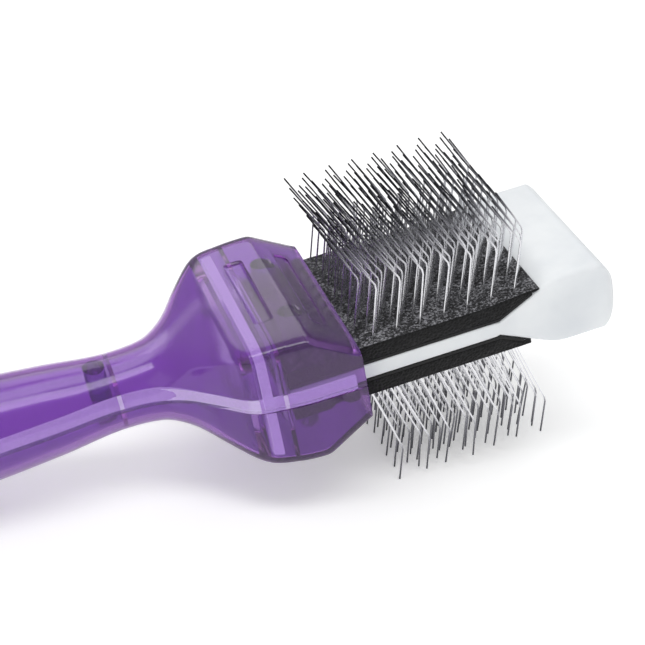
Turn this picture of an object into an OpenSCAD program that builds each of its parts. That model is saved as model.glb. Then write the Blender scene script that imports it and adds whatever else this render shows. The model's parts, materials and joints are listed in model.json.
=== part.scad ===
// Grooming brush with a flexible two-sided head and a hollow two-shell handle.
// Drawn about its own middle: X runs from the handle to the nose, with 0 at the
// mouth of the handle, and Z = 0 is the middle of the head. Every node is then
// laid down the way the brush rests, on its lower pins and the end of its handle.

/* [Head] */
// Width of the pads and of the core
pad_width = 45; // [30:1:60]
// Length of the upper pad in front of the mouth
upper_pad_length = 45.6; // [42:0.2:60]
// Length of the lower pad in front of the mouth
lower_pad_length = 42.2; // [38:0.2:56]
// Length of both pads inside the handle
pad_inset = 17.2; // [15:0.2:17.4]
// Thickness of the white core sheet
core_thickness = 4; // [3:0.1:5]
// Thickness of the woven backing that holds the pins
backing_thickness = 0.8; // [0.7:0.1:1.2]
// Thickness of each foam pad
foam_thickness = 3.9; // [3:0.1:6]
// Least thickness of the foam at the front edge of a pad
pad_edge = 0.3; // [0.2:0.1:0.8]

/* [Nose] */
// Distance from the end of the upper pad back to the start of the flare
flare_length = 10.9; // [8:0.1:12]
// Rise of the flare for each millimetre along the core
flare_slope = 0.5; // [0.4:0.02:0.56]
// Thickness of the nose
nose_thickness = 18; // [16:0.5:24]
// Length of the nose past the upper pad
nose_length = 19.3; // [16:0.1:24]
// Radius of the round front face
nose_front_radius = 12.8; // [12:0.2:16]
// Radius of the upright corners of the nose
nose_corner_radius = 3.5; // [1:0.5:6]

/* [Pins] */
// Diameter of the wire
wire_diameter = 0.4; // [0.3:0.05:0.7]
// Distance between the two legs of one staple
staple_width = 4.8; // [3:0.1:4.8]
// Distance between staples across the head
staple_pitch = 10; // [10:0.5:12]
// Distance from the mouth to the first row of upper pins
upper_first_row = 1.87; // [1.8:0.01:3]
// Distance between neighbouring rows of upper pins
upper_row_pitch = 2.93; // [2.5:0.01:3]
// Distance from the mouth to the first row of lower pins
lower_first_row = 1.9; // [1.8:0.1:4]
// Distance between neighbouring rows of lower pins
lower_row_pitch = 3.06; // [2.5:0.01:3.1]
// Upper pins: length from the pad to the knee
upper_shank = 13.7; // [10:0.1:18]
// Upper pins: forward lean of the shank, degrees
upper_lean = 13; // [0:1:20]
// Upper pins: length from the knee to the point
upper_point = 12.8; // [8:0.1:18]
// Upper pins: backward lean of the point, degrees
upper_hook = 27; // [10:1:35]
// Lower pins: length from the pad to the knee
lower_shank = 20.1; // [14:0.1:24]
// Lower pins: forward lean of the shank, degrees
lower_lean = 17; // [0:1:20]
// Lower pins: length from the knee to the point
lower_point = 9.2; // [6:0.1:14]
// Lower pins: backward lean of the point, degrees
lower_hook = 14; // [5:1:30]

/* [Handle] */
// Wall of both shells
wall = 1.8; // [1.4:0.1:2.2]
// Free space round the head at the mouth, above and below
mouth_gap = 1.2; // [1.1:0.1:2]
// Free space beside the head inside the handle
side_gap = 2.9; // [1:0.1:4]
// Distance from the mouth to the ridge, the thickest part
ridge_distance = 11.2; // [10.5:0.1:14]
// Half thickness of the handle at the ridge
ridge_half = 17; // [16:0.5:20]
// Half thickness of the neck, its thinnest part
neck_half = 9; // [8:0.1:10]
// Distance from the mouth to the neck
neck_distance = 54.1; // [50:0.5:60]
// Half width of the neck
neck_half_width = 10; // [8.5:0.1:12]
// Distance from the mouth to the centre of the round butt
butt_distance = 132; // [110:0.1:160]
// Radius of the round butt
butt_radius = 12.5; // [11:0.1:14]
// Half width of the grip
grip_half_width = 13; // [11:0.1:16]
// Rise of the grip's middle above the head's middle
grip_rise = 1.5; // [0:0.1:3]
// Drop of the mouth and the ridge below the head's middle
mouth_drop = 0.5; // [0:0.1:0.5]

/* [Inside the handle] */
// Radius of the two posts that hold the head
post_radius = 2.6; // [2:0.1:3]
// Distance of each post from the middle
post_offset = 11.7; // [9:0.1:14]
// Distance from the mouth to the posts
post_distance = 11.8; // [10:0.1:12.5]
// Radius of the spigot on the end of each upper post
spigot_radius = 1.2; // [0.8:0.1:1.4]
// Length of the spigots
spigot_length = 3; // [2:0.5:5]
// Free space between a spigot and its socket
spigot_clearance = 0.1; // [0.05:0.05:0.2]
// Swing of the head each way, degrees
swing = 8; // [2:1:8]
// Free space left round the swinging head
swing_clearance = 0.35; // [0.3:0.05:0.6]
// Thickness of the thin rib behind the head
thin_rib = 1; // [0.8:0.1:1.5]
// Thickness of the two stout ribs
stout_rib = 2.2; // [1.5:0.1:3]
// Distance from the mouth to the stout rib of the bulb
bulb_rib_distance = 25.8; // [24:0.1:28]
// Depth of the stout rib from the wall
rib_depth = 5; // [3:0.5:6]
// Height of the lip that lines the joint between the shells
lip_height = 2.8; // [2:0.1:4]
// Thickness of the lip
lip_thickness = 0.9; // [0.7:0.1:1.2]
// Free space between the lip and the upper shell
lip_clearance = 0.1; // [0.05:0.05:0.2]

/* [Panels] */
// Width of the plain panel on the top, across the handle
panel_width = 30; // [20:1:36]
// Length of the panel, along the handle
panel_length = 6; // [5:0.5:7]
// Corner radius of the panel
panel_radius = 2; // [0.5:0.5:3]
// Depth of the panel and of the strip
panel_depth = 0.4; // [0.2:0.1:0.6]
// Width of the strip on the front slope, across the handle
strip_width = 34; // [20:1:40]
// Height of the strip
strip_height = 4; // [2:0.5:5]

/* [Hidden] */
UPPER_ROWS = 15;
LOWER_ROWS = 13;
function two_digits(n) = n < 10 ? str("0", n) : str(n);
UPPER_PINS = [for (i = [1:UPPER_ROWS]) str("upper_pin_row_", two_digits(i))];
LOWER_PINS = [for (i = [1:LOWER_ROWS]) str("lower_pin_row_", two_digits(i))];

tiny = 0.01;
core_half = core_thickness / 2;
backing_top = core_half + backing_thickness;
pad_half = backing_top + foam_thickness;
flare_start = upper_pad_length - flare_length;

// Head and mouth
mouth_half = pad_half + mouth_gap + wall;
mouth_half_width = pad_width / 2 + side_gap + wall;
nose_half = nose_thickness / 2;
nose_centre = upper_pad_length + nose_length - nose_front_radius;
nose_shoulder = flare_start + (nose_half - core_half) / flare_slope;
slot_half = post_radius + pad_half * sin(swing)
            + post_distance * (1 - cos(swing)) + swing_clearance;
inner_corner = sqrt(pad_inset * pad_inset + pad_half * pad_half);
thin_rib_front = inner_corner * cos(max(0, atan2(pad_half, pad_inset) - swing)) + swing_clearance;

// Points of the pins below the middle, and the attitude in which the brush rests
lower_knee_x = lower_first_row + lower_shank * sin(lower_lean);
lower_tip_x = lower_knee_x - lower_point * sin(lower_hook);
lower_tip_z = -pad_half - lower_shank * cos(lower_lean) - lower_point * cos(lower_hook);
tip_run = lower_tip_x + butt_distance;
tip_drop = grip_rise - lower_tip_z;
rest_tilt = acos(butt_radius / norm([tip_run, tip_drop])) - atan2(tip_run, tip_drop);
rest_front = nose_centre * cos(rest_tilt) + nose_front_radius;
rest_back = -butt_distance * cos(rest_tilt) - grip_rise * sin(rest_tilt) - butt_radius;
rest_floor = -butt_distance * sin(rest_tilt) + grip_rise * cos(rest_tilt) - butt_radius;

// Stations of the handle from the ridge to the butt:
// distance from the mouth, half width, half thickness, roundness, rise of the middle.
// A roundness of 1 is an ellipse, and a small one is a box with small round corners.
STATIONS = [
    [ridge_distance, mouth_half_width, ridge_half, 0.15, -mouth_drop],
    [19, mouth_half_width - 0.4, ridge_half - 0.3, 0.15, -0.4 * mouth_drop],
    [26.5, mouth_half_width - 1.5, ridge_half - 1.6, 0.18, 0.3 * grip_rise],
    [33, 0.5 * (mouth_half_width + neck_half_width) + 1.2, 0.5 * (ridge_half + neck_half) - 0.4, 0.3, 0.5 * grip_rise],
    [39, neck_half_width + 4.2, neck_half + 1.6, 0.7, 0.5 * grip_rise],
    [45, neck_half_width + 1.2, neck_half + 0.4, 1, 0.55 * grip_rise],
    [neck_distance, neck_half_width, neck_half, 1, 0.65 * grip_rise],
    [70, 0.5 * (neck_half_width + grip_half_width), 0.5 * (neck_half + butt_radius), 1, 0.8 * grip_rise],
    [90, grip_half_width, butt_radius - 0.3, 1, grip_rise],
    [butt_distance, grip_half_width, butt_radius, 1, grip_rise]];
RING_STEP = 5;
DOME_RINGS = 5;
CORNER_STEPS = 5;

// Smooth value of one column of the stations at distance d
function secant(i, k) = (STATIONS[i + 1][k] - STATIONS[i][k]) / (STATIONS[i + 1][0] - STATIONS[i][0]);
function tangent(i, k) = i == 0 || i == len(STATIONS) - 1 ? 0 : 0.5 * (secant(i - 1, k) + secant(i, k));
function span_of(d) = max([for (i = [0:len(STATIONS) - 2]) if (i == 0 || STATIONS[i][0] <= d) i]);
function hermite(i, k, t, h) =
    STATIONS[i][k] * (2 * pow(t, 3) - 3 * pow(t, 2) + 1) + tangent(i, k) * h * (pow(t, 3) - 2 * pow(t, 2) + t)
    + STATIONS[i + 1][k] * (3 * pow(t, 2) - 2 * pow(t, 3)) + tangent(i + 1, k) * h * (pow(t, 3) - pow(t, 2));
function station(d, k) =
    let (i = span_of(d), h = STATIONS[i + 1][0] - STATIONS[i][0]) hermite(i, k, (d - STATIONS[i][0]) / h, h);

// Rings of the outside: [x, half width, half thickness, roundness, rise]
MOUTH_RING = [0, mouth_half_width, mouth_half, 0.15, -mouth_drop];
ridge_to_butt = butt_distance - ridge_distance;
BODY_RINGS = [for (i = [0:floor(ridge_to_butt / RING_STEP)])
    let (d = ridge_distance + i * ridge_to_butt / floor(ridge_to_butt / RING_STEP))
    [-d, station(d, 1), station(d, 2), min(1, station(d, 3)), station(d, 4)]];
DOME = [for (i = [1:DOME_RINGS])
    let (a = min(89, 90 * i / DOME_RINGS))
    [-butt_distance - butt_radius * sin(a), grip_half_width * cos(a), butt_radius * cos(a), 1, grip_rise]];
RINGS = concat([MOUTH_RING], BODY_RINGS, DOME);

// The same rings moved in by a distance. The mouth stays open and the dome stays round.
function inset_ring(r, t) =
    let (dome = r[0] < -butt_distance, s = (butt_radius - t) / butt_radius)
    dome ? [-butt_distance + (r[0] + butt_distance) * s, r[1] * (grip_half_width - t) / grip_half_width,
            r[2] * s, r[3], r[4]]
         : [r[0], r[1] - t, r[2] - t, r[3], r[4]];

// Half a ring's outline above its middle, as [across, up]
function half_outline(r) =
    let (cy = r[1] * (1 - r[3]), cz = r[2] * (1 - r[3]))
    concat([for (i = [0:CORNER_STEPS]) let (a = 90 * i / CORNER_STEPS)
                [cy + r[1] * r[3] * cos(a), cz + r[2] * r[3] * sin(a)]],
           [for (i = [0:CORNER_STEPS]) let (a = 90 + 90 * i / CORNER_STEPS)
                [-cy + r[1] * r[3] * cos(a), cz + r[2] * r[3] * sin(a)]]);

// A solid through a row of sections, each a list of points
module chain(sections) {
    for (i = [0:len(sections) - 2]) {
        corners = concat(sections[i], sections[i + 1]);
        hull()
            polyhedron(corners, [for (j = [2:len(corners) - 1]) [j - 2, j - 1, j]]);
    }
}

// Half of the handle's outside moved in by t: side 1 is the upper half, -1 the lower.
// Below is how far it runs past the joint; a half that is moved in runs out of the mouth.
module handle_half(side, t = 0, below = 0) {
    moved = [for (r = RINGS) inset_ring(r, t)];
    front = [for (r = moved) if (r[0] == 0 && t > 0) [1, r[1], r[2], r[3], r[4]]];
    chain([for (r = concat(front, moved))
        [for (p = concat([[r[1], -below], [-r[1], -below]], half_outline(r)))
            [r[0], p[0], r[4] + side * p[1]]]]);
}

// Half width of a ring at height z above its middle
function half_width_at(r, z) =
    z <= r[2] * (1 - r[3]) ? r[1]
    : lookup(z, [for (i = [0:CORNER_STEPS]) let (p = half_outline(r)[i]) [p[1], p[0]]]);

// A strip along both sides of the joint, from low to high, between two insets of the wall
module joint_strip(start, outer, inner, low, high) {
    first = concat([-start], [for (i = [1:4]) RINGS[0][i]]);
    rings = concat([first], [for (r = RINGS) if (r[0] < -start && r[0] >= -butt_distance) r]);
    for (side = [-1, 1])
        chain([for (r = rings)
            [for (t = [outer, inner], z = [low, high])
                let (m = inset_ring(r, t)) [m[0], side * half_width_at(m, z), m[4] + z]]]);
}

// A slab across the handle, for ribs
module slab(front, thickness) {
    translate([-front - thickness, -50, -50])
        cube([thickness, 100, 100]);
}

module ribs(side) {
    intersection() {
        handle_half(side, wall / 2);
        difference() {
            union() {
                difference() {
                    union() {
                        slab(thin_rib_front, thin_rib);
                        slab(bulb_rib_distance - stout_rib / 2, stout_rib);
                    }
                    cube([200, 2 * (mouth_half_width - wall - rib_depth),
                          2 * (ridge_half - wall - rib_depth)], center = true);
                }
                slab(neck_distance - thin_rib / 2, thin_rib);
            }
            if (side > 0)
                lip_room();
        }
    }
}

// Room for the lip where it passes the ribs of the upper shell
module lip_room() {
    joint_strip(lip_start / 2, wall / 3, wall + lip_thickness + 2 * lip_clearance,
                -1, lip_height + lip_clearance);
}

// A recess with round corners, its floor at the origin and open upwards
module recess(across, along, radius) {
    hull()
        for (x = [-1, 1], y = [-1, 1])
            translate([x * (along / 2 - radius), y * (across / 2 - radius), 0])
                cylinder(r = radius, h = 5, $fn = 32);
}

slope_angle = atan2(ridge_half - mouth_half, ridge_distance);
panel_centre = ridge_distance + 4 + panel_length / 2;
panel_back = panel_centre + panel_length / 2;
panel_floor = station(panel_back, 2) + station(panel_back, 4) - panel_depth;
module panels() {
    translate([-panel_centre, 0, panel_floor])
        recess(panel_width, panel_length, panel_radius);
    translate([-ridge_distance / 2, 0, (ridge_half + mouth_half) / 2 - mouth_drop])
        rotate([0, slope_angle, 0])
            translate([0, 0, -panel_depth])
                recess(strip_width, strip_height, strip_height * 0.4);
}

// Two posts that pass through the head, and one behind the neck rib
neck_post_gap = 3.6;
module posts() {
    for (y = [-post_offset, post_offset])
        translate([-post_distance, y, 0])
            cylinder(r = post_radius, h = 80, center = true, $fn = 40);
    translate([-neck_distance - neck_post_gap, 0, 0])
        cylinder(r = post_radius, h = 80, center = true, $fn = 40);
}

module shell(side) {
    difference() {
        handle_half(side);
        difference() {
            handle_half(side, wall, 1);
            ribs(side);
            intersection() {
                handle_half(side, wall / 2);
                posts();
            }
        }
    }
}

// The lip stands on the lower shell, inside the joint, from behind the mouth to the butt
lip_start = 2;
lip_root = 1.5;
lip_groove = 0.3;
module lip() {
    joint_strip(lip_start, wall + lip_clearance, wall + lip_clearance + lip_thickness,
                -lip_root, lip_height);
    joint_strip(lip_start + 1, wall / 2, wall + lip_clearance + lip_thickness / 2,
                lip_groove - lip_root, -lip_groove);
}

module spigots(radius, length) {
    for (y = [-post_offset, post_offset])
        translate([-post_distance, y, -length])
            cylinder(r = radius, h = length + 1, $fn = 32);
}

// Lays a piece down the way the brush rests, over the middle of its footprint
module laid_down() {
    translate([-(rest_front + rest_back) / 2, 0, -rest_floor])
        rotate([0, -rest_tilt, 0])
            children();
}

module upper_handle_shell() {
    color("rebeccapurple")
        laid_down() {
            difference() {
                shell(1);
                panels();
            }
            spigots(spigot_radius, spigot_length);
        }
}

module lower_handle_shell() {
    color("rebeccapurple")
        laid_down()
            difference() {
                union() {
                    shell(-1);
                    lip();
                }
                spigots(spigot_radius + spigot_clearance, spigot_length + 2 * spigot_clearance);
            }
}

// Height of the core's surface at x
function core_surface(x) = core_half + flare_slope * max(0, x - flare_start);
// Height of a pad's face at its front edge
function edge_height(length) = max(pad_half, core_surface(length) + pad_edge);
backing_short = 2;

// A side outline [x, z] made as wide as the pads
module across_head() {
    rotate([90, 0, 0])
        linear_extrude(height = pad_width, center = true)
            children();
}

// Slots in the head for the two posts
module post_slots() {
    slot_radius = post_radius + swing_clearance;
    for (y = [-post_offset, post_offset])
        translate([-post_distance, y, 0]) {
            cube([2 * (slot_half - slot_radius), 2 * slot_radius, 60], center = true);
            for (x = [-1, 1])
                translate([x * (slot_half - slot_radius), 0, 0])
                    cylinder(r = slot_radius, h = 60, center = true, $fn = 48);
        }
}

module nose_outline() {
    intersection() {
        translate([nose_centre, 0])
            circle(r = nose_front_radius, $fn = 96);
        translate([nose_centre, -nose_half])
            square([nose_front_radius, nose_thickness]);
    }
    polygon([[-pad_inset, -core_half], [flare_start, -core_half], [nose_shoulder, -nose_half],
             [nose_centre + tiny, -nose_half], [nose_centre + tiny, nose_half],
             [nose_shoulder, nose_half], [flare_start, core_half], [-pad_inset, core_half]]);
}

module flexible_core() {
    nose_tip = upper_pad_length + nose_length;
    color("whitesmoke")
        laid_down()
            difference() {
                intersection() {
                    across_head()
                        nose_outline();
                    union() {
                        translate([-pad_inset, -pad_width / 2, -50])
                            cube([pad_inset + nose_tip - nose_corner_radius, pad_width, 100]);
                        for (y = [-1, 1])
                            translate([nose_tip - nose_corner_radius, y * (pad_width / 2 - nose_corner_radius), -50])
                                cylinder(r = nose_corner_radius, h = 100, $fn = 48);
                        translate([nose_tip - nose_corner_radius - 1, -pad_width / 2 + nose_corner_radius, -50])
                            cube([nose_corner_radius + 1, pad_width - 2 * nose_corner_radius, 100]);
                    }
                }
                post_slots();
            }
}

module backing(side, length) {
    end = length - backing_short;
    laid_down()
        scale([1, 1, side])
            difference() {
                across_head()
                    polygon([[-pad_inset, core_half], [flare_start, core_half], [end, core_surface(end)],
                             [end, core_surface(end) + backing_thickness],
                             [flare_start, backing_top], [-pad_inset, backing_top]]);
                post_slots();
            }
}

module pad(side, length) {
    end = length - backing_short;
    laid_down()
        scale([1, 1, side])
            difference() {
                across_head()
                    polygon([[-pad_inset, backing_top], [flare_start, backing_top],
                             [end, core_surface(end) + backing_thickness], [end, core_surface(end)],
                             [length, core_surface(length)], [length, edge_height(length)],
                             [flare_start - 3, pad_half], [-pad_inset, pad_half]]);
                post_slots();
            }
}

module upper_backing() { color("dimgray") backing(1, upper_pad_length); }
module lower_backing() { color("dimgray") backing(-1, lower_pad_length); }
module upper_pad() { color("black") pad(1, upper_pad_length); }
module lower_pad() { color("black") pad(-1, lower_pad_length); }

// Wire: a tube of WIRE_SIDES sides swept along a path, mitred at each bend
WIRE_SIDES = 6;
function unit(v) = v / norm(v);
function heading(path, i) = unit(path[i + 1] - path[i]);
// The vector v turned the short way that takes direction a to direction b
function turned(v, a, b) =
    let (axis = cross(a, b), s = norm(axis), c = a * b)
    s < 0.0001 ? v : let (k = axis / s) v * c + cross(k, v) * s + k * (k * v) * (1 - c);
function side_vector(path, i) =
    i == 0 ? unit(cross(heading(path, 0), [0.3, 1, 0.2]))
           : turned(side_vector(path, i - 1), heading(path, i - 1), heading(path, i));
function wire_ring(path, i, r) =
    let (last = len(path) - 1, k = max(0, min(i, last) - 1), d = heading(path, k),
         t = i == 0 || i == last ? d : unit(heading(path, i - 1) + heading(path, i)),
         u = side_vector(path, k), w = cross(d, u))
    [for (j = [0:WIRE_SIDES - 1])
        let (a = 360 * j / WIRE_SIDES, o = r * (u * cos(a) + w * sin(a)))
        path[i] + o - d * ((o * t) / (d * t))];

module wire(path, r) {
    n = WIRE_SIDES;
    last = len(path) - 1;
    points = [for (i = [0:last]) each wire_ring(path, i, r)];
    walls = [for (i = [0:last - 1], j = [0:n - 1])
        [i * n + j, i * n + (j + 1) % n, (i + 1) * n + (j + 1) % n, (i + 1) * n + j]];
    polyhedron(points, concat([[for (j = [n - 1:-1:0]) j]], walls, [[for (j = [0:n - 1]) last * n + j]]));
}

// Staples stand in lines, two to a row. Each line is moved across from the last by a
// quarter of the staple pitch, and every fourth line has one staple fewer.
staple_count = floor((pad_width - 4 - staple_pitch / 2 - staple_width) / staple_pitch) + 1;
row_span = (staple_count - 1) * staple_pitch + staple_width + staple_pitch / 2;
crown_lift = wire_diameter / 2 + 0.05;

// One leg in its own plane as [x, z], from the crown to the point
function leg(base, shank, lean, point, hook) =
    let (crown_z = core_surface(base) + crown_lift,
         knee = [base + shank * sin(lean), pad_half + shank * cos(lean)])
    [[base - (pad_half - crown_z) * tan(lean), crown_z], knee,
     knee + point * [-sin(hook), cos(hook)]];

module staple_line(side, line, flat_leg) {
    quarter = (line + 2) % 4;
    start = -row_span / 2 + quarter * staple_pitch / 4;
    last = staple_count - (quarter == 3 ? 2 : 1);
    for (k = [0:last]) {
        near = side * (start + k * staple_pitch);
        far = near + side * staple_width;
        wire(concat([for (i = [2:-1:0]) [flat_leg[i][0], near, side * flat_leg[i][1]]],
                    [for (i = [0:2]) [flat_leg[i][0], far, side * flat_leg[i][1]]]),
             wire_diameter / 2);
    }
}

// The second line stands half a pitch in front of the first. The last row has only one.
module upper_pin_row(row) {
    color("silver")
        laid_down()
            for (half = [0:row == UPPER_ROWS - 1 ? 0 : 1])
                staple_line(1, 2 * row + half,
                            leg(upper_first_row + (row + half / 2) * upper_row_pitch,
                                upper_shank, upper_lean, upper_point, upper_hook));
}

module lower_pin_row(row) {
    color("silver")
        laid_down()
            for (half = [0:row == LOWER_ROWS - 1 ? 0 : 1])
                staple_line(-1, 2 * row + half,
                            leg(lower_first_row + (row + half / 2) * lower_row_pitch,
                                lower_shank, lower_lean, lower_point, lower_hook));
}

upper_handle_shell();
lower_handle_shell();
flexible_core();
upper_backing();
lower_backing();
upper_pad();
lower_pad();
for (i = [0:UPPER_ROWS - 1])
    upper_pin_row(i);
for (i = [0:LOWER_ROWS - 1])
    lower_pin_row(i);
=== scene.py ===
# A grooming brush with a flexible two-sided head, lying on its lower pins and the end
# of its grip. Lengths named in this script are in millimetres unless they end in _m.
import json
import math
import random

import bpy
from mathutils import Matrix, Vector


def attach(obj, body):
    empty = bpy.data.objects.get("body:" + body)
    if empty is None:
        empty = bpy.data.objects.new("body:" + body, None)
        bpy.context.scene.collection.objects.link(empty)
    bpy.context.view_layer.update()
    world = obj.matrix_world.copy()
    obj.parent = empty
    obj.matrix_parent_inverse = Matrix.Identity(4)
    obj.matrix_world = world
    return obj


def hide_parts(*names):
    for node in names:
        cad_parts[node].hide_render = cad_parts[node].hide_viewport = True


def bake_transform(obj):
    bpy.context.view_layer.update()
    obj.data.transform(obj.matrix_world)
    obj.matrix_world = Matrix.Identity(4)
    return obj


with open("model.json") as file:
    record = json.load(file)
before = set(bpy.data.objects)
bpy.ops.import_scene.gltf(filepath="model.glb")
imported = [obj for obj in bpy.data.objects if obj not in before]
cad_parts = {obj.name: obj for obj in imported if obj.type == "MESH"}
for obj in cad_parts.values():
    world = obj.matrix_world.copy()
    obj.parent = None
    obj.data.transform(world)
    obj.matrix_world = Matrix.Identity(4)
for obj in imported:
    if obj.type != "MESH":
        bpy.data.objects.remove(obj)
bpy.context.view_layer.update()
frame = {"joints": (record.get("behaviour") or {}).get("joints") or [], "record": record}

MM = 0.001
MOUTH = Vector(frame["joints"][0]["pos_m"])
PANEL = frame["record"]["mounts"][0]["axis"]
TILT = math.atan2(-PANEL[0], PANEL[2])
# The pieces are drawn with 0 at the mouth of the handle, +X to the nose and Z = 0 in the
# middle of the head, and then laid down with the brush.
LAY_DOWN = Matrix.Translation(MOUTH) @ Matrix.Rotation(-TILT, 4, "Y")

# ---------------------------------------------------------------- small tools


def on_its_own(obj):
    """Selects one object and nothing else."""
    bpy.ops.object.select_all(action="DESELECT")
    obj.select_set(True)
    bpy.context.view_layer.objects.active = obj


def apply(obj, kind, **settings):
    """Adds a modifier with its settings and applies it."""
    on_its_own(obj)
    modifier = obj.modifiers.new(kind.title(), kind)
    for key, value in settings.items():
        setattr(modifier, key, value)
    bpy.ops.object.modifier_apply(modifier=modifier.name)


def tidy_mesh(obj, outwards=True, gap=0.002):
    """Merges points closer than the gap and, if asked, turns the faces outwards."""
    on_its_own(obj)
    bpy.ops.object.mode_set(mode="EDIT")
    bpy.ops.mesh.select_all(action="SELECT")
    bpy.ops.mesh.remove_doubles(threshold=gap * MM)
    if outwards:
        bpy.ops.mesh.normals_make_consistent(inside=False)
    bpy.ops.object.mode_set(mode="OBJECT")


def lay_down(obj, angle=35):
    """Puts a finished piece where the brush lies, with its place in its mesh."""
    on_its_own(obj)
    obj.matrix_world = LAY_DOWN
    bpy.ops.object.transform_apply(location=True, rotation=True, scale=True)
    bpy.ops.object.shade_smooth_by_angle(angle=math.radians(angle))


def join(name, pieces):
    """Joins pieces into one object, in the order given."""
    bpy.ops.object.select_all(action="DESELECT")
    for piece in pieces:
        piece.select_set(True)
    bpy.context.view_layer.objects.active = pieces[0]
    bpy.ops.object.join()
    pieces[0].name = name
    return pieces[0]


def skin(name, rows):
    """A grid whose rows are bent to the given rows of points."""
    last_row, last_point = len(rows) - 1, len(rows[0]) - 1
    bpy.ops.object.select_all(action="DESELECT")
    bpy.ops.mesh.primitive_grid_add(x_subdivisions=last_point, y_subdivisions=last_row, size=1)
    obj = bpy.context.object
    obj.name = name
    for v in obj.data.vertices:
        point = rows[round((v.co.y + 0.5) * last_row)][round((v.co.x + 0.5) * last_point)]
        v.co = Vector(point) * MM
    return obj


def close_ends(obj):
    """Fills the open ends of a tube."""
    on_its_own(obj)
    bpy.ops.object.mode_set(mode="EDIT")
    bpy.ops.mesh.select_all(action="DESELECT")
    bpy.ops.mesh.select_mode(type="VERT")
    bpy.ops.mesh.select_non_manifold()
    bpy.ops.mesh.fill()
    bpy.ops.object.mode_set(mode="OBJECT")


def tube(name, sections):
    """A closed tube through sections, each a ring of points."""
    obj = skin(name, [ring + ring[:1] for ring in sections])
    tidy_mesh(obj, outwards=False)
    close_ends(obj)
    tidy_mesh(obj)
    return obj


def cut(obj, cutter, operation="DIFFERENCE"):
    """Takes a piece out of another, or adds it, and removes the piece."""
    apply(obj, "BOOLEAN", operation=operation, solver="EXACT", object=cutter)
    bpy.data.objects.remove(cutter)


def steps(start, stop, step):
    """Even places from start to stop, about a step apart."""
    count = max(1, round((stop - start) / step))
    return [start + (stop - start) * i / count for i in range(count + 1)]


def smooth_between(stations, x):
    """The values of the stations at x, eased from one to the next."""
    last = len(stations) - 1
    i = next((j for j in range(last) if x <= stations[j + 1][0]), last - 1)

    def slope(j, k):
        if j in (0, last):
            return 0
        before, here, after = stations[j - 1:j + 2]
        return 0.5 * ((here[k] - before[k]) / (here[0] - before[0])
                      + (after[k] - here[k]) / (after[0] - here[0]))

    a, b = stations[i], stations[i + 1]
    h = b[0] - a[0]
    t = min(1, max(0, (x - a[0]) / h))
    return [a[k] * (2 * t**3 - 3 * t**2 + 1) + slope(i, k) * h * (t**3 - 2 * t**2 + t)
            + b[k] * (3 * t**2 - 2 * t**3) + slope(i + 1, k) * h * (t**3 - t**2)
            for k in range(1, len(a))]


# ---------------------------------------------------------------- sizes

# The head: its width, the half thickness to the pad's face and of the core, and the backing
PAD_WIDTH, PAD_HALF, CORE_HALF, BACKING = 45.0, 6.7, 2.0, 0.8
# The pads' lengths in front of the mouth, and how far the head goes into the handle
UPPER_PAD, LOWER_PAD, INSET = 45.6, 42.2, 17.2
# The core flares over the end of the pads, which thin out there; the backings end before them
FLARE_START, FLARE_SLOPE = 34.7, 0.5
PAD_TAPER = FLARE_START - 3
BACKING_SHORT = 2
NOSE_HALF, NOSE_TIP, NOSE_RADIUS, NOSE_CORNER = 9.0, 64.9, 12.8, 3.5
SHOULDER = FLARE_START + (NOSE_HALF - CORE_HALF) / FLARE_SLOPE

# The handle: its wall, mouth, ridge and butt
WALL = 1.8
MOUTH_HALF, MOUTH_WIDE, MOUTH_DROP = 9.7, 27.2, 0.5
RIDGE, RIDGE_HALF = 11.2, 17.0
BUTT, BUTT_RADIUS, GRIP_WIDE, RISE = 132.0, 12.5, 13.0, 1.5

# Inside it: posts, the slots round them, ribs as [distance, thickness, depth], and the lip
POST_X, POST_Y, POST_RADIUS = -11.8, 11.7, 2.6
NECK_POST_X = -57.7
SLOT_HALF, SLOT_WIDE = 4.0, 2.95
RIBS = [[18.8, 1.0, 5], [25.8, 2.2, 5], [54.1, 1.0, 6.2]]
LIP_HEIGHT, LIP_THICKNESS = 2.8, 0.9
# The lip's corners: how far in from the outside, and how high above the joint
LIP_SECTION = ((WALL + 0.12, 0.1), (WALL + 0.12, LIP_HEIGHT),
               (WALL + LIP_THICKNESS, LIP_HEIGHT), (WALL + LIP_THICKNESS, 0.1))
# The band that carries a painted glow: how far behind the mouth its middle is, its width, and its
# insets
BAND_BACK, BAND_WIDE = 22.8, 2.2
BAND_INSETS = (WALL + 0.05, WALL + 0.35)

# Recesses on the top panel and on the front slope: across, along and corner, and their place
PANEL_RECESS, PANEL_X, PANEL_Z = (30.6, 6, 2), -18.2, 16.25
STRIP_RECESS, STRIP_X = (34, 4, 1.9), -6.0
# Their depth, and the thickness of the block that cuts them
RECESS, CUTTER = 0.4, 6

# Distance behind the mouth, half width, half thickness, roundness, rise of the middle
HANDLE = [
    [11.2, 27.2, 17.0, 0.15, -0.5],
    [19.0, 26.8, 16.7, 0.15, -0.2],
    [26.5, 25.7, 15.4, 0.18, 0.45],
    [33.0, 19.8, 12.6, 0.3, 0.75],
    [39.0, 14.2, 10.6, 0.7, 0.75],
    [45.0, 11.2, 9.4, 1, 0.825],
    [54.1, 10.0, 9.0, 1, 0.975],
    [70.0, 11.5, 10.75, 1, 1.2],
    [90.0, 13.0, 12.2, 1, 1.5],
    [132.0, 13.0, 12.5, 1, 1.5]]

# ---------------------------------------------------------------- materials


def colour(hex_code):
    """An sRGB hex value as linear red, green, blue and 1."""
    parts = [int(hex_code[i:i + 2], 16) / 255 for i in (1, 3, 5)]
    return [c / 12.92 if c <= 0.04045 else ((c + 0.055) / 1.055) ** 2.4 for c in parts] + [1]


def material(name):
    """A new material with no nodes in it yet."""
    made = bpy.data.materials.new(name)
    made.use_nodes = True
    made.node_tree.nodes.clear()
    return made


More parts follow.
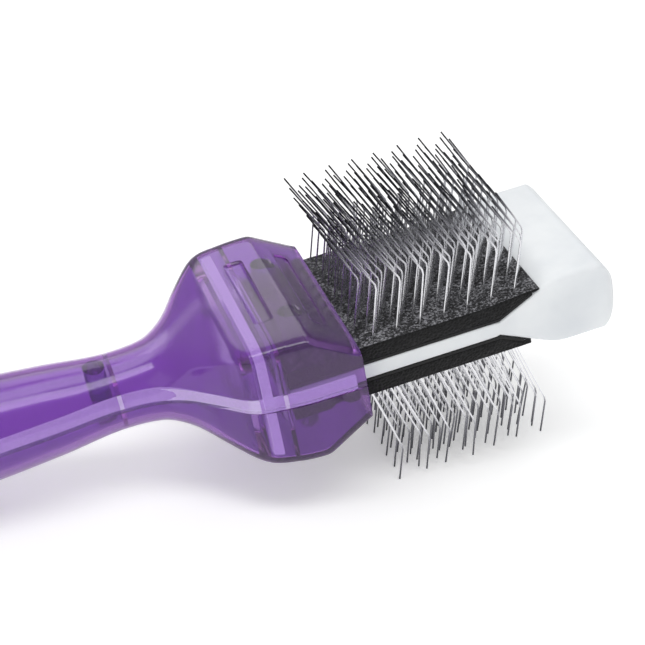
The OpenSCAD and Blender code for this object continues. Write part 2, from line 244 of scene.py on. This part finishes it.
def node(made, kind, settings=None, links=None, **values):
    """Adds a node: its settings, its links {input: (node, output)}, and its values."""
    added = made.node_tree.nodes.new(kind)
    for key, value in (settings or {}).items():
        setattr(added, key, value)
    for key, value in values.items():
        added.inputs[key.replace("_", " ")].default_value = value
    for key, (source, output) in (links or {}).items():
        made.node_tree.links.new(source.outputs[output], added.inputs[key])
    return added


def ramp(made, source, output, *stops):
    """A colour ramp with its stops, each a place and a hex colour."""
    added = node(made, "ShaderNodeValToRGB", links={"Fac": (source, output)})
    while len(added.color_ramp.elements) < len(stops):
        added.color_ramp.elements.new(0.5)
    for element, (place, hex_code) in zip(added.color_ramp.elements, stops):
        element.position = place
        element.color = colour(hex_code)
    return added


def brush_frame(made):
    """Coordinates in metres along, across and up the head, whichever way the brush lies."""
    place = node(made, "ShaderNodeTexCoord")
    return node(made, "ShaderNodeMapping", {"vector_type": "TEXTURE"},
                {"Vector": (place, "Object")}, Location=MOUTH, Rotation=(0, -TILT, 0))


def violet_styrene():
    """Clear violet styrene plastic, moulded and glossy: light goes through the walls and
    deepens in colour with the thickness it passes, so ribs and edges look darker."""
    made = material("violet_clear_styrene_moulded")
    place = brush_frame(made)
    # Flow marks of the moulding, a few millimetres wide, haze the clear plastic a little
    flow = node(made, "ShaderNodeTexNoise", links={"Vector": (place, "Vector")},
                Scale=90, Detail=3)
    haze = node(made, "ShaderNodeMapRange", links={"Value": (flow, "Fac")},
                To_Min=0.1, To_Max=0.2)
    bump = node(made, "ShaderNodeBump", links={"Height": (flow, "Fac")},
                Strength=0.08, Distance=0.0006)
    shader = node(made, "ShaderNodeBsdfPrincipled", links={
        "Roughness": (haze, "Result"), "Normal": (bump, "Normal"), "Coat Normal": (bump, "Normal")},
        Base_Color=colour("#ae7dd3"), IOR=1.4, Transmission_Weight=0.93,
        Coat_Weight=0.35, Coat_Roughness=0.05, Coat_IOR=1.5)
    inside = node(made, "ShaderNodeVolumeAbsorption", Color=(0.62, 0.05, 0.62, 1), Density=75)
    node(made, "ShaderNodeOutputMaterial", links={
        "Surface": (shader, "BSDF"), "Volume": (inside, "Volume")})
    return made


def painted_glow_styrene():
    """Violet styrene with a painted glow, on the joint lip and the band at the seat of the
    head: its pale base and an emission of its own stand in for light that runs along the wall, so
    it shows as a pale line, and the violet of the wall in front of it is taken out of its own
    colour."""
    made = material("violet_styrene_painted_glow")
    place = brush_frame(made)
    # Sparks of the tool finish, about half a millimetre apart
    frost = node(made, "ShaderNodeTexNoise", links={"Vector": (place, "Vector")},
                 Scale=1300, Detail=2)
    tone = ramp(made, frost, "Fac", (0.3, "#cfe0cf"), (0.7, "#e6f2e6"))
    bump = node(made, "ShaderNodeBump", links={"Height": (frost, "Fac")},
                Strength=0.2, Distance=0.0001)
    # Painted glow: the pale greenish base from the ramp above and the emission read as a pale lilac
    # line through the violet wall.
    shader = node(made, "ShaderNodeBsdfPrincipled", links={
        "Base Color": (tone, "Color"), "Normal": (bump, "Normal")},
        Roughness=0.5, IOR=1.5, Transmission_Weight=0.3,
        Emission_Color=colour("#e2ffe6"), Emission_Strength=0.6)
    node(made, "ShaderNodeOutputMaterial", links={"Surface": (shader, "BSDF")})
    return made


def white_rubber():
    """White thermoplastic rubber, moulded in a satin tool: soft, matt and a little waxy."""
    made = material("white_rubber_moulded")
    place = brush_frame(made)
    cloud = node(made, "ShaderNodeTexNoise", links={"Vector": (place, "Vector")},
                 Scale=60, Detail=4)
    tone = ramp(made, cloud, "Fac", (0.3, "#dfe3e7"), (0.7, "#eff2f4"))
    # Spark-eroded grain of the mould, about 0.4 mm
    grain = node(made, "ShaderNodeTexNoise", links={"Vector": (place, "Vector")},
                 Scale=2500, Detail=2)
    bump = node(made, "ShaderNodeBump", links={"Height": (grain, "Fac")},
                Strength=0.12, Distance=0.00005)
    shader = node(made, "ShaderNodeBsdfPrincipled", {"subsurface_method": "RANDOM_WALK"}, {
        "Base Color": (tone, "Color"), "Normal": (bump, "Normal")},
        Roughness=0.42, IOR=1.46, Subsurface_Weight=0.25, Subsurface_Scale=0.003,
        Subsurface_Radius=(1, 1, 1))
    node(made, "ShaderNodeOutputMaterial", links={"Surface": (shader, "BSDF")})
    return made


def black_foam():
    """Black felted foam: matt, rough, with grey fibre ends that catch the light on the
    face, and torn cells on the cut sides, which are painted darker than the face as painted shade."""
    made = material("black_foam_felted")
    place = brush_frame(made)
    # Fibre ends 0.3 to 0.6 mm apart, in drifts a few millimetres wide
    fibre = node(made, "ShaderNodeTexNoise", links={"Vector": (place, "Vector")},
                 Scale=1700, Detail=3, Roughness=0.65)
    drift = node(made, "ShaderNodeTexNoise", links={"Vector": (place, "Vector")},
                 Scale=260, Detail=2)
    spread = node(made, "ShaderNodeMath", {"operation": "MULTIPLY_ADD"}, {
        0: (drift, "Fac"), 2: (fibre, "Fac")})
    spread.inputs[1].default_value = 0.35
    face = ramp(made, spread, "Value", (0.54, "#101011"), (0.68, "#303033"), (0.84, "#98989d"))
    # Open cells of the cut sides, about 0.7 mm across
    cells = node(made, "ShaderNodeTexVoronoi", links={"Vector": (place, "Vector")}, Scale=1400)
    # Painted shade: the cut sides get a darker copy of the foam's colour than the face.
    side = ramp(made, cells, "Distance", (0.15, "#020202"), (0.8, "#19191b"))
    parts = node(made, "ShaderNodeSeparateXYZ", links={"Vector": (place, "Vector")})
    across = node(made, "ShaderNodeMath", {"operation": "ABSOLUTE"}, {0: (parts, "Y")})
    # The face gives way to the cut side, painted darker as painted shade, in the last half
    # millimetre of the half width
    painted_shade_side = node(made, "ShaderNodeMapRange", links={"Value": (across, "Value")},
                    From_Min=(PAD_WIDTH / 2 - 0.45) * MM, From_Max=(PAD_WIDTH / 2 - 0.25) * MM)
    tone = node(made, "ShaderNodeMix", {"data_type": "RGBA"})
    for socket, (source, output) in {0: (painted_shade_side, "Result"), 6: (face, "Color"),
                                     7: (side, "Color")}.items():
        made.node_tree.links.new(source.outputs[output], tone.inputs[socket])
    relief = node(made, "ShaderNodeMath", {"operation": "ADD"}, {
        0: (spread, "Value"), 1: (cells, "Distance")})
    bump = node(made, "ShaderNodeBump", links={"Height": (relief, "Value")},
                Strength=0.9, Distance=0.00025)
    shader = node(made, "ShaderNodeBsdfPrincipled", links={"Normal": (bump, "Normal")},
                  Roughness=0.9, Specular_IOR_Level=0.22, Sheen_Weight=0.1, Sheen_Roughness=0.6)
    made.node_tree.links.new(tone.outputs[2], shader.inputs["Base Color"])
    node(made, "ShaderNodeOutputMaterial", links={"Surface": (shader, "BSDF")})
    return made


def woven_backing():
    """Grey pin cloth, rubberised and woven: threads about 0.5 mm apart."""
    made = material("pin_cloth_woven")
    place = brush_frame(made)
    weave = [node(made, "ShaderNodeTexWave", {"bands_direction": way},
                  {"Vector": (place, "Vector")}, Scale=320, Distortion=0.4) for way in ("X", "Y")]
    cloth = node(made, "ShaderNodeMath", {"operation": "MULTIPLY"}, {
        0: (weave[0], "Fac"), 1: (weave[1], "Fac")})
    tone = ramp(made, cloth, "Value", (0.0, "#1a1a1b"), (1.0, "#37373a"))
    bump = node(made, "ShaderNodeBump", links={"Height": (cloth, "Value")},
                Strength=0.6, Distance=0.0001)
    shader = node(made, "ShaderNodeBsdfPrincipled", links={
        "Base Color": (tone, "Color"), "Normal": (bump, "Normal")}, Roughness=0.85)
    node(made, "ShaderNodeOutputMaterial", links={"Surface": (shader, "BSDF")})
    return made


def drawn_wire():
    """Hard drawn steel wire, with a painted reflection: near white along the shanks and darker
    towards the points of both sides.
    """
    made = material("steel_wire_drawn")
    place = brush_frame(made)
    parts = node(made, "ShaderNodeSeparateXYZ", links={"Vector": (place, "Vector")})
    # From the lower points, 35 mm below the middle of the head, to the upper ones
    height = node(made, "ShaderNodeMapRange", links={"Value": (parts, "Z")},
                  From_Min=-0.035, From_Max=0.035)
    # Painted reflection: the shanks are painted near white and the points of both sides dark grey.
    tone = ramp(made, height, "Result", (0.0, "#4c4c51"), (0.12, "#85858b"), (0.16, "#e0e0e4"),
                (0.5, "#ececee"), (0.8, "#e2e2e6"), (0.87, "#84848a"), (0.95, "#26262a"))
    # Draw marks run round the wire about 0.2 mm apart
    marks = node(made, "ShaderNodeTexNoise", links={"Vector": (place, "Vector")},
                 Scale=1800, Detail=2)
    gloss = node(made, "ShaderNodeMapRange", links={"Value": (marks, "Fac")},
                 To_Min=0.16, To_Max=0.36)
    shader = node(made, "ShaderNodeBsdfPrincipled", links={
        "Base Color": (tone, "Color"), "Roughness": (gloss, "Result")}, Metallic=1)
    node(made, "ShaderNodeOutputMaterial", links={"Surface": (shader, "BSDF")})
    return made


PLASTIC, GLOW_STYRENE, RUBBER = violet_styrene(), painted_glow_styrene(), white_rubber()
CLOTH, WIRE, FOAM = woven_backing(), drawn_wire(), black_foam()


def dress(obj, surface, body=None):
    """Gives a piece its material and, if it is a stiff one, its body."""
    obj.data.materials.clear()
    obj.data.materials.append(surface)
    if body:
        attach(obj, body)


# ---------------------------------------------------------------- handle

HALF_POINTS = 28
RING_STEP = 1.5
# The ridge is a rounded crest: how far the rounding reaches, and how much it takes off
FILLET = 1.4
CREST_DROP = 0.18


def handle_at(back):
    """Half width, half thickness, roundness and rise at a distance behind the mouth."""
    if back < RIDGE:
        half = MOUTH_HALF + (RIDGE_HALF - MOUTH_HALF) * back / RIDGE
        wide, roundness, rise = MOUTH_WIDE, 0.15, -MOUTH_DROP
    else:
        wide, half, roundness, rise = smooth_between(HANDLE, back)
    near_crest = max(0, 1 - abs(RIDGE - back) / FILLET)
    return [wide, half - CREST_DROP * near_crest * near_crest, min(1, roundness), rise]


def section_power(roundness):
    """The power of the curve whose corners are as round as the section's."""
    return 2 * math.log(1 - 0.2929 * roundness) / math.log(0.5)


def half_ring(wide, half, roundness, side):
    """Half of a section as [across, up], from one side of the joint to the other."""
    power = section_power(roundness)
    points = []
    for i in range(HALF_POINTS + 1):
        a = math.pi * i / HALF_POINTS
        c, s = math.cos(a), math.sin(a)
        across = 1 if i in (0, HALF_POINTS) else abs(c) ** power
        points.append([math.copysign(across * wide, c), side * half * abs(s) ** power])
    return points


def placed(back, ring, rise):
    """A ring of [across, up] put at its distance behind the mouth."""
    return [[-back, y, rise + z] for y, z in ring]


def shell_rows(side):
    """Rows of points over one half of the handle's outside, from the mouth to the butt."""
    backs = (steps(0, RIDGE - 1.6, RING_STEP) + steps(RIDGE - 1.2, RIDGE + 1.2, 0.4)
             + steps(RIDGE + 1.6, BUTT - RING_STEP, RING_STEP))
    rows = []
    for back in backs:
        wide, half, roundness, rise = handle_at(back)
        rows.append(placed(back, half_ring(wide, half, roundness, side), rise))
    for i in range(11):
        a = math.radians(9 * i)
        ring = half_ring(GRIP_WIDE * math.cos(a) + 1e-4, BUTT_RADIUS * math.cos(a) + 1e-4, 1, side)
        rows.append(placed(BUTT + BUTT_RADIUS * math.sin(a), ring, RISE))
    return rows


def inner_ring(name, side, backs, insets):
    """A strip that runs round inside a shell, between two places and two insets."""
    (outer_a, inner_a), (outer_b, inner_b) = [
        [placed(back, half_ring(wide - inset, half - inset, roundness, side), rise)
         for inset in insets]
        for back in backs for wide, half, roundness, rise in [handle_at(back)]]
    return tube(name, [[outer_a[i], inner_a[i], inner_b[i], outer_b[i]]
                       for i in range(HALF_POINTS + 1)])


def rib(side, back, thickness, depth):
    """A rib that runs round inside the shell, depth in from its wall."""
    return inner_ring("rib", side, (back - thickness / 2, back + thickness / 2),
                      (WALL / 2, WALL + depth))


def glowing_seat_band(side):
    """A ring just inside the wall where the head's seat ends, which carries a painted glow as a
    pale band.
    """
    return inner_ring("band", side, (BAND_BACK - BAND_WIDE / 2, BAND_BACK + BAND_WIDE / 2),
                      BAND_INSETS)


def post(side, x, y):
    """A round post from the joint to the roof of a shell."""
    _, half, _, rise = handle_at(-x)
    top = half - WALL / 2
    bpy.ops.object.select_all(action="DESELECT")
    bpy.ops.mesh.primitive_cylinder_add(vertices=32, radius=POST_RADIUS * MM, depth=top * MM,
                                        location=Vector((x, y, rise + side * top / 2)) * MM)
    bpy.ops.object.transform_apply(location=True)
    return bpy.context.object


def tablet(across, along, corner, thickness, place, turn=0.0):
    """A flat block with round corners, for cutting a shallow recess."""
    bpy.ops.object.select_all(action="DESELECT")
    bpy.ops.mesh.primitive_cube_add(size=1)
    made = bpy.context.object
    made.scale = Vector((along, across, thickness)) * MM
    bpy.ops.object.transform_apply(scale=True)
    bpy.ops.object.mode_set(mode="EDIT")
    bpy.ops.mesh.select_all(action="DESELECT")
    bpy.ops.object.mode_set(mode="OBJECT")
    for edge in made.data.edges:
        a, b = (made.data.vertices[i].co for i in edge.vertices)
        edge.select = abs(a.z - b.z) > thickness * MM / 2
    bpy.ops.object.mode_set(mode="EDIT")
    bpy.ops.mesh.select_mode(type="EDGE")
    bpy.ops.mesh.bevel(offset=corner * MM, segments=8, affect="EDGES")
    bpy.ops.object.mode_set(mode="OBJECT")
    made.rotation_euler = (0, turn, 0)
    made.location = Vector(place) * MM
    bpy.ops.object.transform_apply(location=True, rotation=True)
    return made


def handle_shell(side):
    """One half of the handle with its wall, its ribs and its posts."""
    shell = skin("shell", shell_rows(side))
    tidy_mesh(shell, gap=0.01)
    # The grid's faces must look out before the wall is made inwards
    middle = shell.data.polygons[len(shell.data.polygons) // 3]
    if middle.normal.dot(Vector((0, middle.center.y, middle.center.z))) < 0:
        shell.data.flip_normals()
    apply(shell, "SOLIDIFY", thickness=WALL * MM, offset=-1, use_even_offset=True)
    for piece in ([rib(side, *one) for one in RIBS]
                  + [post(side, x, y) for x, y in ((POST_X, POST_Y), (POST_X, -POST_Y),
                                                   (NECK_POST_X, 0))]):
        cut(shell, piece, "UNION")
    return shell


def lip_share(z, half, roundness):
    """How much of a section's half width is left at height z."""
    power = section_power(roundness)
    return (1 - (z / half) ** (2 / power)) ** (power / 2)


def joint_lip():
    """The thin lip that stands up inside the joint, on both sides and round the butt."""
    strips = []
    for y_side in (-1, 1):
        rings = []
        for back in steps(2, BUTT, RING_STEP):
            wide, half, roundness, rise = handle_at(back)
            rings.append([[-back, y_side * (wide - inset) * lip_share(z, half - inset, roundness),
                           rise + z] for inset, z in LIP_SECTION])
        for angle in steps(10, 89.9, 8):
            a = math.radians(angle)
            rings.append([[-BUTT - (BUTT_RADIUS - inset) * share * math.sin(a),
                           y_side * (GRIP_WIDE - inset) * share * math.cos(a), RISE + z]
                          for inset, z in LIP_SECTION
                          for share in [lip_share(z, BUTT_RADIUS - inset, 1)]])
        strips.append(tube("lip", rings))
    return strips


def make_handle():
    """Both shells, with the lip and the band that show through them, both painted with a glow."""
    upper, lower = handle_shell(1), handle_shell(-1)
    lift = CUTTER / 2 - RECESS
    cut(upper, tablet(*PANEL_RECESS, CUTTER, (PANEL_X, 0, PANEL_Z + lift)))
    slope = math.atan2(RIDGE_HALF - MOUTH_HALF, RIDGE)
    strip_z = MOUTH_HALF - MOUTH_DROP - STRIP_X * math.tan(slope)
    cut(upper, tablet(*STRIP_RECESS, CUTTER, (STRIP_X + lift * math.sin(slope), 0,
                                              strip_z + lift * math.cos(slope)), slope))
    for way, shell in (("upper", upper), ("lower", lower)):
        shell.name = f"{way}_shell"
        # Moulded edges, rounded by a fifth of a millimetre
        apply(shell, "BEVEL", width=0.2 * MM, segments=2, limit_method="ANGLE",
              angle_limit=math.radians(62))
        lay_down(shell)
        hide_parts(f"{way}_handle_shell")
        dress(shell, PLASTIC, "handle")
    # The lip and the band take the styrene with a painted glow.
    for glow_piece in (join("joint_lip", joint_lip()),
                    join("glowing_seat_band", [glowing_seat_band(1), glowing_seat_band(-1)])):
        lay_down(glow_piece)
        dress(glow_piece, GLOW_STYRENE, "handle")


# ---------------------------------------------------------------- head


def core_surface(x):
    """Height of the core's face above its middle: a flat sheet, then the flare, then the nose."""
    return min(NOSE_HALF, CORE_HALF + FLARE_SLOPE * max(0, x - FLARE_START))


def rounded_box(x, wide, low, high, radius):
    """A section across the head with round corners."""
    radius = min(radius, wide, (high - low) / 2)
    left, right, under, over = -wide + radius, wide - radius, low + radius, high - radius
    points = []
    for y, z, start in ((right, over, 0), (left, over, 90),
                        (left, under, 180), (right, under, 270)):
        for i in range(4):
            a = math.radians(start + 30 * i)
            points.append([x, y + radius * math.cos(a), z + radius * math.sin(a)])
    return points


def layer(side, *section):
    """A section of a layer that lies above the core (side 1) or under it (side -1)."""
    return [[x, y, side * z] for x, y, z in rounded_box(*section)]


def cut_slots(obj):
    """Slots for the two posts that pass through the tail of the head."""
    for y in (-POST_Y, POST_Y):
        cut(obj, tablet(2 * SLOT_WIDE, 2 * SLOT_HALF, SLOT_WIDE - 0.05, 40, (POST_X, y, 0)))


def bend_with_head(obj):
    """Bakes a soft piece's place into its mesh."""
    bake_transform(obj)


def make_core():
    """The white sheet between the pads, which flares into the nose."""
    sections = []
    centre = NOSE_TIP - NOSE_RADIUS
    corner = NOSE_TIP - NOSE_CORNER
    for x in (steps(-INSET, FLARE_START - 2, 1.6) + steps(FLARE_START - 1, 52, 1)
              + steps(53, NOSE_TIP - 1.5, 0.8) + [NOSE_TIP - 0.8, NOSE_TIP - 0.3, NOSE_TIP - 0.05]):
        # The flare runs into the nose with a soft shoulder
        half = core_surface(x) - 0.35 * max(0, 1 - abs(x - SHOULDER) / 3) ** 2
        if x > centre:
            half = min(half, math.sqrt(max(0, NOSE_RADIUS**2 - (x - centre) ** 2)))
        wide = PAD_WIDTH / 2
        if x > corner:
            wide -= NOSE_CORNER - math.sqrt(max(0, NOSE_CORNER**2 - (x - corner) ** 2))
        sections.append(rounded_box(x, wide, -half, half, 0.5 if x < FLARE_START else 1.0))
    core = tube("soft_core_and_nose", sections)
    cut_slots(core)
    lay_down(core, 40)
    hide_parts("flexible_core")
    dress(core, RUBBER)
    bend_with_head(core)


def make_pad(side, length, name, node_name):
    """A foam pad: of one thickness up to the flare, and thinned to an edge over it."""
    rng = random.Random(node_name)
    edge = max(PAD_HALF, core_surface(length) + 0.3)
    sections = []
    for x in steps(-INSET, PAD_TAPER, 1.5) + steps(FLARE_START - 2, length - 0.15, 1):
        under = core_surface(x) + (BACKING if x < length - BACKING_SHORT else 0) + 0.02
        rise = max(0, (x - PAD_TAPER) / (length - PAD_TAPER))
        over = max(PAD_HALF + (edge - PAD_HALF) * rise, under + 0.15)
        sections.append(layer(side, x, PAD_WIDTH / 2 - 0.05, under, over, 0.35))
    pad = tube(name, sections)
    cut_slots(pad)
    # The cut sides of the foam are ragged by about a tenth of a millimetre
    for v in pad.data.vertices:
        if abs(v.co.y) > (PAD_WIDTH / 2 - 0.5) * MM:
            v.co.y += rng.uniform(-0.08, 0.05) * MM
            v.co.x += rng.uniform(-0.1, 0.1) * MM
    lay_down(pad, 50)
    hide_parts(node_name)
    dress(pad, FOAM)
    bend_with_head(pad)


def make_backing(side, length, name, node_name):
    """The woven sheet between the core and a pad, which holds the staples."""
    sections = []
    for x in steps(-INSET, FLARE_START, 1.5) + steps(FLARE_START + 0.5, length - BACKING_SHORT, 1):
        low = core_surface(x) + 0.01
        sections.append(layer(side, x, PAD_WIDTH / 2 - 0.02, low, low + BACKING, 0.1))
    cloth = tube(name, sections)
    cut_slots(cloth)
    lay_down(cloth, 50)
    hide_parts(node_name)
    dress(cloth, CLOTH)
    bend_with_head(cloth)


# ---------------------------------------------------------------- pins

WIRE_RADIUS = 0.22
STAPLES, STAPLE_PITCH, STAPLE_WIDTH = 4, 10.0, 4.8
# For each side: its rows, the first one's place, the pitch, and a leg's shank, lean, point, hook
PIN_SIDES = (("upper", 1, 15, 1.87, 2.93, (13.7, 13, 12.8, 27)),
             ("lower", -1, 13, 1.9, 3.06, (20.1, 17, 9.2, 14)))


def staple_leg(base, y, side, shape, rng):
    """Points of one leg from the crown to the point, bent a little at random."""
    shank, lean, point, hook = shape
    lean = math.radians(lean + rng.gauss(0, 0.8))
    hook = math.radians(hook + rng.gauss(0, 1.2))
    sideways = rng.gauss(0, 0.012)
    crown = core_surface(base) + WIRE_RADIUS + 0.05
    start = [base - (PAD_HALF - crown) * math.tan(lean), y, crown]
    knee = [base + shank * math.sin(lean), y + sideways * shank, PAD_HALF + shank * math.cos(lean)]
    tip = [knee[0] - point * math.sin(hook), knee[1] + sideways * point,
           knee[2] + point * math.cos(hook)]
    before = [k + (s - k) * 0.6 / shank for s, k in zip(start, knee)]
    after = [k + (t - k) * 0.6 / point for t, k in zip(tip, knee)]
    return [[p[0], p[1], side * p[2]] for p in (start, before, after, tip)]


def make_row(side, lines, shape, name, node_name):
    """A row of staples, bent wires drawn as curves with a round section.

    Each of its lines is a number and a place along the head."""
    rng = random.Random(node_name)
    curve = bpy.data.curves.new(name, "CURVE")
    curve.dimensions = "3D"
    curve.bevel_depth = WIRE_RADIUS * MM
    curve.bevel_resolution = 1
    curve.use_fill_caps = True
    span = (STAPLES - 1) * STAPLE_PITCH + STAPLE_WIDTH + STAPLE_PITCH / 2
    for number, base in lines:
        quarter = (number + 2) % 4
        first = -span / 2 + quarter * STAPLE_PITCH / 4
        for k in range(STAPLES - (quarter == 3)):
            near = side * (first + k * STAPLE_PITCH)
            far = near + side * STAPLE_WIDTH
            legs = [staple_leg(base, y, side, shape, rng) for y in (near, far)]
            path = legs[0][::-1] + legs[1]
            spline = curve.splines.new("POLY")
            spline.points.add(len(path) - 1)
            for point, place in zip(spline.points, path):
                point.co = (*(Vector(place) * MM), 1)
    row = bpy.data.objects.new(name, curve)
    bpy.context.scene.collection.objects.link(row)
    on_its_own(row)
    bpy.ops.object.convert(target="MESH")
    row = bpy.context.object
    row.name = name
    lay_down(row, 50)
    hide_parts(node_name)
    dress(row, WIRE, "head")


def make_pins():
    """The rows of both sides, counted from the mouth to the nose."""
    for way, side, rows, first, pitch, shape in PIN_SIDES:
        for i in range(rows):
            # The last row has one line of staples, the others two
            halves = (0,) if i == rows - 1 else (0, 1)
            lines = [(2 * i + half, first + (i + half / 2) * pitch) for half in halves]
            make_row(side, lines, shape, f"{way}_wires_{i + 1:02d}", f"{way}_pin_row_{i + 1:02d}")


# ---------------------------------------------------------------- studio


def make_studio():
    """White paper, a white tent, three softboxes, and a camera over the left of the head."""
    paper = material("white_paper_floor")
    # A little light of its own keeps the paper as white as a lit sweep
    shader = node(paper, "ShaderNodeBsdfPrincipled", Base_Color=colour("#f4f4f4"), Roughness=0.9,
                  Emission_Color=colour("#ffffff"), Emission_Strength=0.3)
    node(paper, "ShaderNodeOutputMaterial", links={"Surface": (shader, "BSDF")})
    bpy.ops.object.select_all(action="DESELECT")
    bpy.ops.mesh.primitive_plane_add(size=8)
    floor = bpy.context.object
    floor.name = "paper_floor"
    floor.data.materials.append(paper)

    world = bpy.data.worlds.new("white_tent")
    world.use_nodes = True
    world.node_tree.nodes["Background"].inputs["Color"].default_value = (1, 1, 1, 1)
    world.node_tree.nodes["Background"].inputs["Strength"].default_value = 0.52
    bpy.context.scene.world = world

    for name, place, long, wide, power in (
            ("overhead_softbox", (-0.1, -0.2, 1.15), 1.3, 0.35, 6),
            ("back_softbox", (0.1, 0.9, 0.8), 1.0, 0.6, 2.5),
            ("fill_softbox", (-0.9, -0.7, 0.6), 0.9, 0.9, 1.2)):
        lamp = bpy.data.lights.new(name, "AREA")
        lamp.shape = "RECTANGLE"
        lamp.size, lamp.size_y = long, wide
        lamp.energy = power
        box = bpy.data.objects.new(name, lamp)
        box.location = place
        box.rotation_euler = (-Vector(place)).to_track_quat("-Z", "Y").to_euler()
        bpy.context.scene.collection.objects.link(box)

    lens = bpy.data.cameras.new("camera")
    lens.lens = 100.5
    lens.sensor_width = 36
    lens.clip_start, lens.clip_end = 0.01, 20
    camera = bpy.data.objects.new("camera", lens)
    camera.location = MOUTH + Vector((-0.1132, -0.355, 0.2227))
    camera.rotation_euler = (math.radians(59.25), 0, math.radians(-17.35))
    bpy.context.scene.collection.objects.link(camera)
    bpy.context.scene.camera = camera
    bpy.context.scene.view_settings.view_transform = "Standard"


make_studio()
make_handle()
make_core()
make_backing(1, UPPER_PAD, "upper_pin_cloth", "upper_backing")
make_backing(-1, LOWER_PAD, "lower_pin_cloth", "lower_backing")
make_pad(1, UPPER_PAD, "upper_foam_pad", "upper_pad")
make_pad(-1, LOWER_PAD, "lower_foam_pad", "lower_pad")
make_pins()
